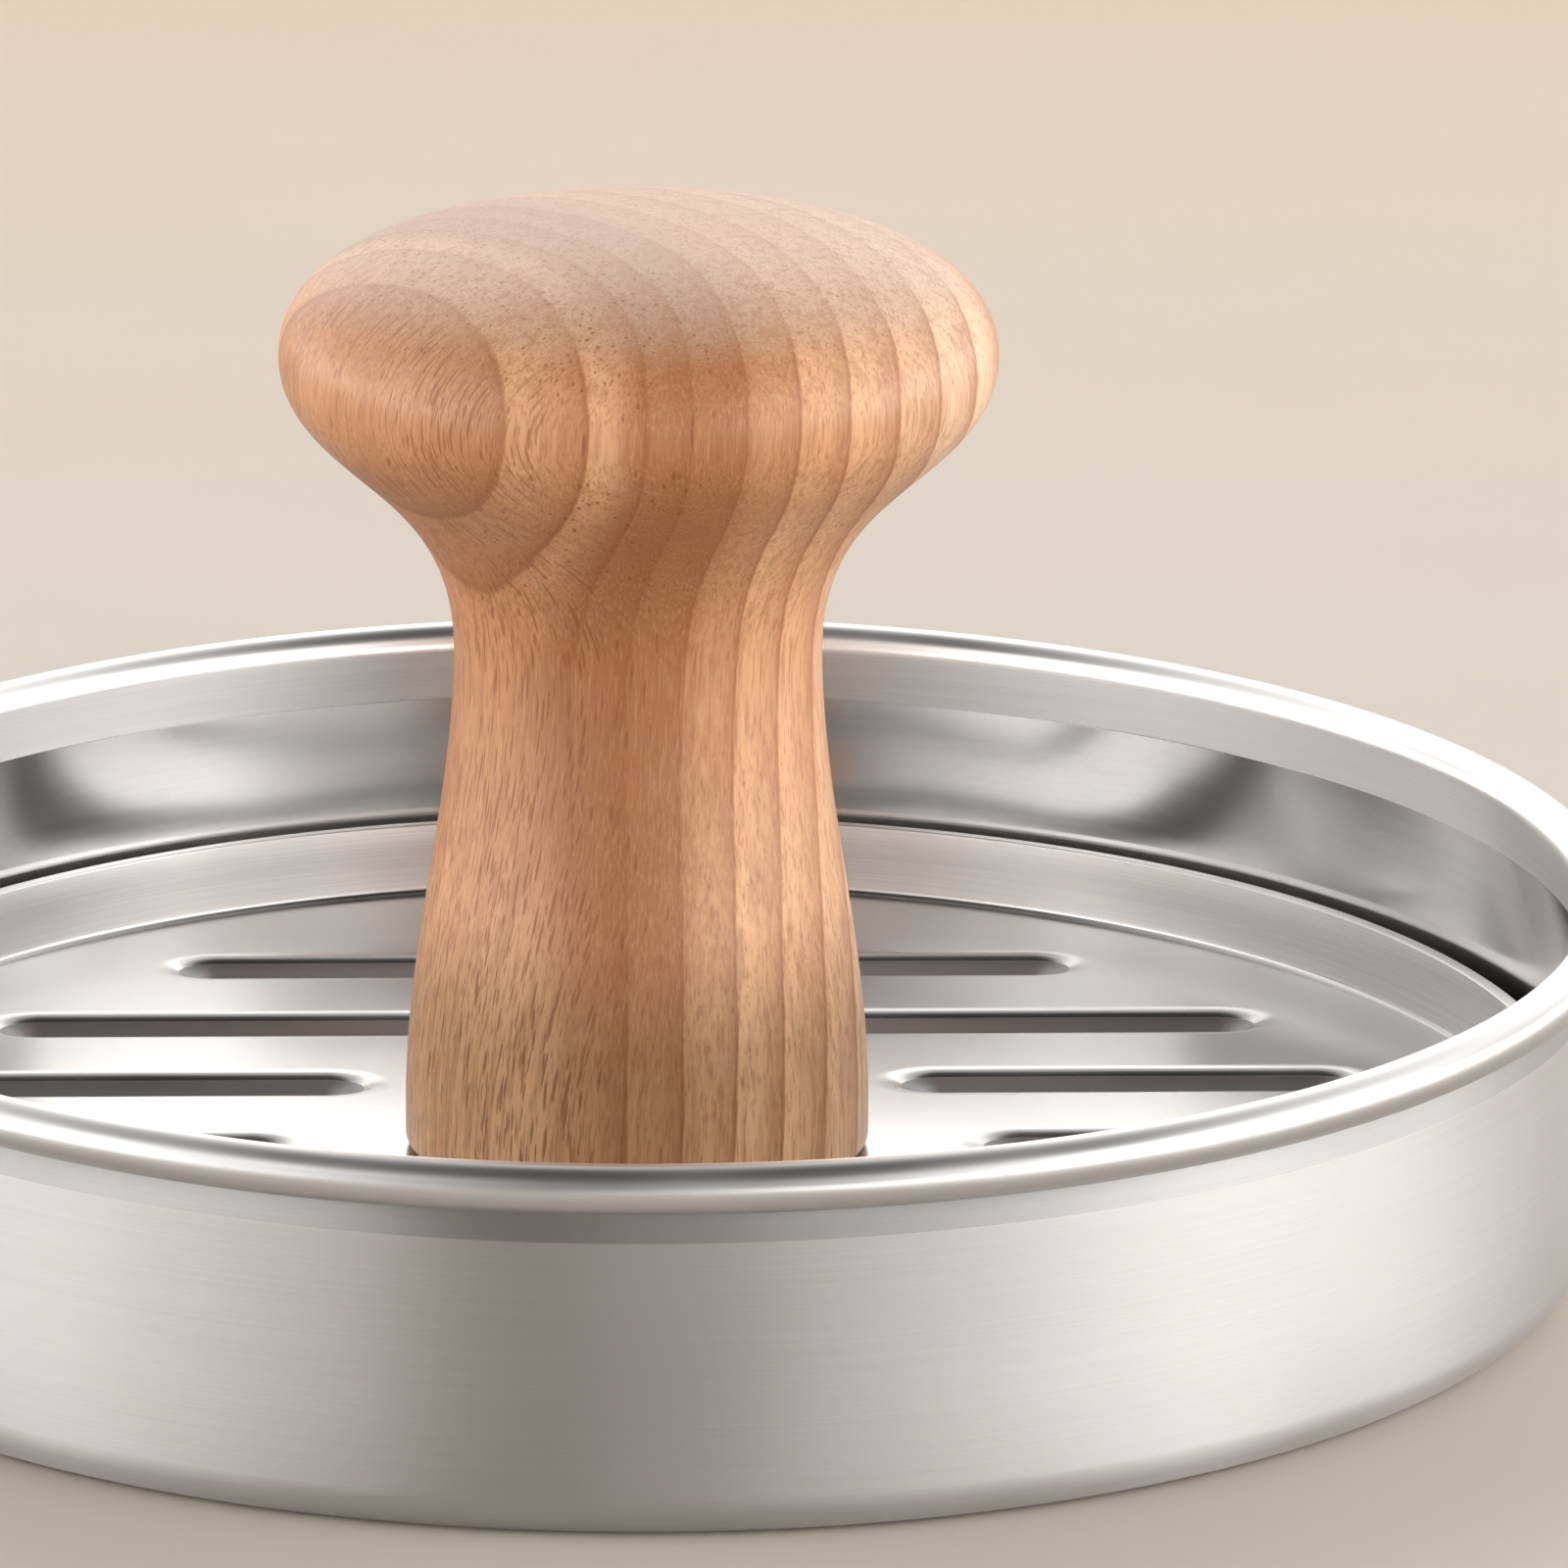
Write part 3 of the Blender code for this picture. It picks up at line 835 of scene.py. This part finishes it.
# %% Beech recipe
def make_beech():
    """Beech as a solid pattern: rings, flecks and fibres, laid on like thin glazes."""
    made, tree, shader, at = new_material("beech")
    distance, grain, outward, height = place_in_tree(tree, at)

    def stretched(scale):
        return vector(tree, "MULTIPLY", grain, scale)

    wander = noise(tree, stretched((0.07, 0.07, 0.02)), 1.0, 2.0)
    wobble = noise(tree, stretched((0.6, 0.6, 0.10)), 1.0, 3.0, 0.6)
    fibre = noise(tree, stretched((6.0, 6.0, 0.30)), 1.0, 3.0, 0.7)
    streak = noise(tree, stretched((1.6, 1.6, 0.06)), 1.0, 3.0, 0.6)
    cloud = noise(tree, stretched((0.14, 0.14, 0.03)), 1.0, 2.0, 0.5)
    shifted = calc(tree, "MULTIPLY_ADD", calc(tree, "SUBTRACT", wander, 0.5), 0.9, distance)
    shifted = calc(tree, "MULTIPLY_ADD", calc(tree, "SUBTRACT", wobble, 0.5), 0.30, shifted)

    normal = node(tree, "ShaderNodeTexCoord").outputs["Normal"]
    upward = node(tree, "ShaderNodeSeparateXYZ", {0: normal}).outputs["Z"]
    away = vector(tree, "DOT_PRODUCT", normal, outward)
    facing = calc(tree, "ABSOLUTE", away)
    # Painted light: the handle gets lighter toward its foot, where the dish shades it.
    painted_foot_light = spread(tree, height, 28.0, 8.0)
    # Painted light: paler on the side far from the heart.
    painted_light_far_side = spread(tree, distance, 54.0, 64.0)
    # Painted sheen on the faces that look up, on the crown.
    top_sheen = spread(tree, calc(tree, "MULTIPLY_ADD", wobble, 0.10, upward), 0.72, 0.98)
    # Painted shade: a darker band of rings down the middle of the shaft, eased toward the foot.
    zone_start, zone_end = spread(tree, shifted, 39.0, 42.5), spread(tree, shifted, 52.0, 46.0)
    painted_shade_zone = calc(tree, "MULTIPLY", zone_start, zone_end)
    painted_shade_zone = calc(tree, "MULTIPLY", painted_shade_zone, calc(tree, "MULTIPLY_ADD", painted_foot_light, -0.35, 0.84))

    inner_rings = spread(tree, distance, 43.4, 42.4)
    early = calc(tree, "MULTIPLY", spread(tree, height, 40.0, 18.0), inner_rings)
    late = growth_rings(tree, shifted)
    late = calc(tree, "MULTIPLY", late, calc(tree, "MULTIPLY_ADD", early, -0.8, 0.85))
    # The painted sheen on top also fades the rings there.
    late = calc(tree, "MULTIPLY", late, calc(tree, "MULTIPLY_ADD", top_sheen, -0.55, 1.0))

    tangential = spread(tree, facing, 0.20, 0.70)
    tangential = calc(tree, "MULTIPLY", tangential, spread(tree, away, 0.0, 0.3, 1.0, 0.25))
    long_flecks = fleck_mask(tree, stretched((0.22, 4.6, 0.34)), 0.44)
    short_flecks = fleck_mask(tree, stretched((0.28, 6.0, 0.50)), 0.44)
    dashes = fleck_mask(tree, stretched((2.3, 2.3, 0.25)), 0.33)
    dashes = calc(tree, "MULTIPLY", dashes, spread(tree, distance, 50.0, 44.0))
    rays = calc(tree, "MAXIMUM", long_flecks, short_flecks)
    pale = calc(tree, "MULTIPLY", rays, calc(tree, "SUBTRACT", 1.0, tangential))
    dark = calc(tree, "MAXIMUM", calc(tree, "MULTIPLY", rays, tangential), dashes)

    base = blend_colours(tree, spread(tree, cloud, 0.3, 0.7), light_wood, mid_wood)
    for amount, tint in (
        (spread(tree, facing, 0.1, 0.8, 0.0, 0.62), facing_wood),
        # Painted light toward the foot.
        (calc(tree, "MULTIPLY", painted_foot_light, 0.85), painted_foot_light_wood),
        # Painted light on the far side.
        (calc(tree, "MULTIPLY", painted_light_far_side, 0.75), painted_light_far_wood),
        # Painted shade in the middle band.
        (painted_shade_zone, painted_shade_wood),
        # Painted sheen on top.
        (calc(tree, "MULTIPLY", top_sheen, 0.62), top_sheen_wood),
        (late, late_wood),
        (spread(tree, streak, 0.42, 0.68, 0.0, 0.45), streak_wood),
        (spread(tree, fibre, 0.50, 0.68, 0.0, 0.60), dark_fibre),
        (spread(tree, fibre, 0.50, 0.32, 0.0, 0.16), pale_fibre),
        (calc(tree, "MULTIPLY", pale, 0.05), pale_fibre),
        (calc(tree, "MULTIPLY", dark, 0.70), fleck_wood),
    ):
        base = blend_colours(tree, amount, base, tint)
    tree.links.new(base, shader.inputs["Base Color"])
    rough = calc(tree, "MULTIPLY_ADD", fibre, 0.16, 0.40)
    tree.links.new(rough, shader.inputs["Roughness"])
    relief = calc(tree, "MULTIPLY_ADD", dark, -0.8, calc(tree, "MULTIPLY", fibre, -1.0))
    bump = node(tree, "ShaderNodeBump", {"Height": relief, "Strength": 0.5})
    bump.inputs["Distance"].default_value = 0.05 * MM
    tree.links.new(bump.outputs["Normal"], shader.inputs["Normal"])
    shader.inputs["Coat Weight"].default_value = 0.25
    shader.inputs["Coat Roughness"].default_value = 0.38
    return made


beech = make_beech()
print(beech.name, "made with", len(beech.node_tree.nodes), "nodes")


# %% [markdown]
# ## Putting the finishes on
#
# The dish has five finishes on one piece of metal, so its faces are sorted by place. The wall is
# brushed outside and bright inside, and the underside is brushed too. The floor and the outer half
# of the roll are plain rolled steel. The inner half of the roll and the neck under it are
# burnished, in a lighter tone that is painted light, and the outer side of the neck has a darker
# tone, which is painted shade. The plate is satin, with a scuffed flange and rough grooves whose
# darker tone is painted shade.

# %% Places on the dish and the plate
outside_from = 55
outside_top = 19.8
least_outward = 0.05
underside_below = 0.4
roll_foot = 18.9
neck_inner = 57.62
floor_below = 0.85
flange_from = 54.9
lip_depth = 0.35


def is_outside(face):
    """True for the outer side of the wall, up to the roll, and for the underside."""
    centre = face.center
    outward = (centre.x * face.normal.x + centre.y * face.normal.y) / max(radius_of(centre), 1e-9)
    past_wall = radius_of(centre) > outside_from * MM and outward > least_outward
    on_wall = past_wall and centre.z < outside_top * MM
    return on_wall or centre.z < underside_below * MM


def is_bead(face):
    """True for the rolled rim and for the inner side of the neck under it."""
    centre = face.center
    on_neck = centre.z > neck_foot * MM and radius_of(centre) < neck_inner * MM
    return centre.z > roll_foot * MM or on_neck


def finish_of_dish(face):
    """The finish of a face of the dish."""
    if is_outside(face):
        # The outer side of the neck takes the darker brushed steel, which is painted shade under the
        # roll.
        return neck_shade if face.center.z > neck_foot * MM else brushed
    if is_bead(face):
        # The inner half of the roll and the inner side of the neck take the lighter finish, which is
        # painted light there.
        return rolled if radius_of(face.center) > bead_centre[0] * MM else roll_painted_light
    return rolled if face.center.z < floor_below * MM else bright


def finish_of_plate(face):
    """The finish of a face of the plate."""
    height = face.center.z
    if radius_of(face.center) > flange_from * MM and height > (plate_top + lip_depth) * MM:
        return scuffed
    # The faces inside the grooves take the darker finish, which is painted shade there.
    in_groove = height < (plate_top - lip_depth) * MM and face.normal.z > 0
    return groove_shade if in_groove else satin


# %% Put the finishes on
def put_on(piece, finishes, finish_of):
    """Gives a piece its finishes, and each of its faces the one that belongs there."""
    for finish in finishes:
        piece.data.materials.append(finish)
    for face in piece.data.polygons:
        face.material_index = finishes.index(finish_of(face))
    kinds = [face.material_index for face in piece.data.polygons]
    counts = {finish.name: kinds.count(place) for place, finish in enumerate(finishes)}
    print(piece.name, "faces by finish:", counts)


put_on(dish, [bright, brushed, rolled, roll_painted_light, neck_shade], finish_of_dish)
put_on(plate, [satin, scuffed, groove_shade], finish_of_plate)
put_on(handle, [beech], lambda face: beech)
put_on(screw, [plated], lambda face: plated)
put_on(washer, [plated], lambda face: plated)


# %% [markdown]
# ## Hand the pieces to the frame
#
# Each piece stands for its CAD node and rides on its body. The press lifts straight out of the
# dish, so all that belongs to it rides on "press".

# %% Ride and replace
for piece, cad_node, body, finish in (
    (dish, "dish", "dish", "dish_steel"),
    (plate, "press_plate", "press", "plate_steel"),
    (handle, "handle", "press", "beech"),
    (screw, "handle_screw", "press", "screw_steel"),
    (washer, "screw_washer", "press", "screw_steel"),
):
    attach(piece, body)
    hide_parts(cad_node)
    print(piece.name, "stands for", cad_node, "and rides on", body)


# %% [markdown]
# ## Camera
#
# The camera stands 0.84 m away and looks down a little, with a long lens. Its place and turn come
# from fitting the ellipses of the rim, the foot of the dish and the flange to the photograph.
# Lengths are in metres, angles in radians, and the film and lens in millimetres.

# %% Place the camera
distance_back = 0.800
camera_height = 0.25777
pitch = 0.27924
roll = 0.00521
yaw = 0.01105
plate_turn = 0.022
film_width = 36
focal_length = 316.06
nearest = 0.05

ahead = Vector((math.sin(yaw) * math.cos(pitch), math.cos(yaw) * math.cos(pitch), -math.sin(pitch)))
right = Vector((math.cos(yaw), -math.sin(yaw), 0))
above = right.cross(ahead)
side = math.cos(roll) * right + math.sin(roll) * above
over = math.cos(roll) * above - math.sin(roll) * right
axes = Matrix((side, over, -ahead)).transposed().to_4x4()
stand = Matrix.Translation((0, -distance_back, camera_height)) @ axes
camera = bpy.data.objects.new("camera", bpy.data.cameras.new("camera"))
bpy.context.scene.collection.objects.link(camera)
camera.matrix_world = Matrix.Rotation(-plate_turn, 4, "Z") @ stand
camera.data.sensor_width = film_width
camera.data.lens = focal_length
camera.data.clip_start = nearest
bpy.context.scene.camera = camera
print("camera at", [round(c, 4) for c in camera.matrix_world.translation])


# %% [markdown]
# ## Floor and light
#
# Bright metal shows its surroundings, so the light is what gives it shape. The studio is a dark
# room with four soft bands of light, one above the other, whose brightness changes with the
# bearing. They are brightest at the sides and dark in front, which the wall shows as a soft dark
# band. Overhead it is dark too, which the grooves show. The floor is 12 m across and lies a hair
# below the dish. Its other sizes are in millimetres.

# %% Lay the floor
floor_size = 12
floor_drop = 0.02
warm_from = 80
warm_to = 480

start_fresh()
bpy.ops.mesh.primitive_plane_add(size=floor_size, location=(0, 0, -floor_drop * MM))
floor = bpy.context.object
floor.name = "floor"
floor_finish, floor_tree, floor_shader, floor_at = new_material("floor")
mottle = noise(floor_tree, floor_at, 0.02, 3.0)
pale = blend_colours(floor_tree, mottle, colour(0.72, 0.655, 0.585), colour(0.68, 0.61, 0.54))
back = node(floor_tree, "ShaderNodeSeparateXYZ", {0: floor_at}).outputs["Y"]
warm = spread(floor_tree, back, warm_from, warm_to)
pale = blend_colours(floor_tree, warm, pale, colour(0.74, 0.58, 0.42))
floor_tree.links.new(pale, floor_shader.inputs["Base Color"])
floor_shader.inputs["Roughness"].default_value = 0.6
floor_shader.inputs["Specular IOR Level"].default_value = 0.1
floor.data.materials.append(floor_finish)
print("floor:", [round(side, 2) for side in floor.dimensions], "m")


# %% Bands of light
world = bpy.data.worlds.new("studio")
bpy.context.scene.world = world
world.use_nodes = True
sky = world.node_tree
background = sky.nodes["Background"]
looking = node(sky, "ShaderNodeTexCoord").outputs["Generated"]
bearing = node(sky, "ShaderNodeSeparateXYZ", {0: looking}).outputs
around = calc(sky, "ARCTAN2", bearing["X"], calc(sky, "MULTIPLY", bearing["Y"], -1.0))
turned_by = calc(sky, "MULTIPLY_ADD", around, 0.5 / math.pi, 0.5)


def band(heights, marks):
    """A soft band of light round the studio. Its brightness follows (bearing, level) marks: bearings
    are in degrees, 0 in front and 90 on the right. Heights are sines of the elevation."""
    top = max(level for _, level in marks)
    curve = node(sky, "ShaderNodeFloatCurve", {"Value": turned_by})
    points = curve.mapping.curves[0].points
    points[0].location = (0, marks[0][1] / top)
    points[1].location = (1, marks[0][1] / top)
    for turn_from_front, level in marks[1:]:
        points.new(turn_from_front / 360 + 0.5, level / top)
    curve.mapping.update()
    rise = spread(sky, bearing["Z"], heights[0], heights[1])
    fall = spread(sky, bearing["Z"], heights[2], heights[3], top, 0.0)
    return calc(sky, "MULTIPLY", curve.outputs["Value"], calc(sky, "MULTIPLY", rise, fall))


low_marks = (
    (-180, 1.0), (-140, 2.6), (-110, 7.0), (-85, 7.8), (-60, 5.2), (-49, 4.0), (-37, 3.0), (-29, 1.6),
    (-22, 0.2), (-16, 0.0), (-11, 0.0), (-5, 0.9), (0, 1.5), (7, 1.7), (12, 2.9), (18, 4.4),
    (24, 5.1), (33, 5.7), (44, 6.4), (56, 7.6), (69, 9.0), (80, 9.4), (93, 9.2), (107, 7.4),
    (125, 3.7), (140, 2.0), (160, 1.0),
)
mid_marks = (
    (-180, 3.0), (-150, 2.5), (-120, 0.4), (-90, 0.2), (-76, 0.5), (-65, 1.3), (-44, 0.8), (-20, 0.2),
    (0, 0.1), (20, 0.1), (32, 0.5), (45, 1.4), (60, 2.2), (75, 2.0), (88, 0.4), (110, 0.4),
    (140, 2.1), (160, 3.0),
)
high_marks = (
    (-180, 2.8), (-150, 1.6), (-120, 1.3), (-90, 2.5), (-65, 2.6), (-44, 2.0), (-30, 1.0), (-16, 0.1),
    (0, 0.2), (28, 0.8), (45, 2.2), (65, 3.2), (90, 3.0), (120, 1.6), (150, 1.8),
)
top_marks = (
    (-180, 0.6), (-130, 0.9), (-95, 0.6), (-70, 0.0), (0, 0.0), (70, 0.0), (95, 0.6), (130, 0.9),
)


# %% Set the surroundings
darkest = 0.04
backdrop = 0.8
lamp_tone = colour(1.0, 0.985, 0.97)
total = darkest
for heights, marks in (
    ((-0.9, -0.8, 0.10, 0.22), low_marks),
    ((0.12, 0.24, 0.32, 0.44), mid_marks),
    ((0.32, 0.46, 0.60, 0.76), high_marks),
    ((0.60, 0.72, 0.81, 0.93), top_marks),
):
    total = calc(sky, "ADD", total, band(heights, marks))
lights = node(sky, "ShaderNodeLightPath").outputs
total = calc(sky, "MAXIMUM", total, calc(sky, "MULTIPLY", lights["Is Camera Ray"], backdrop))
wall_tone = blend_colours(sky, 1.0, lamp_tone, total, "MULTIPLY")
sky.links.new(wall_tone, background.inputs["Color"])
bpy.context.scene.view_settings.view_transform = "Standard"
print("world:", world.name, "with", len(sky.nodes), "nodes")
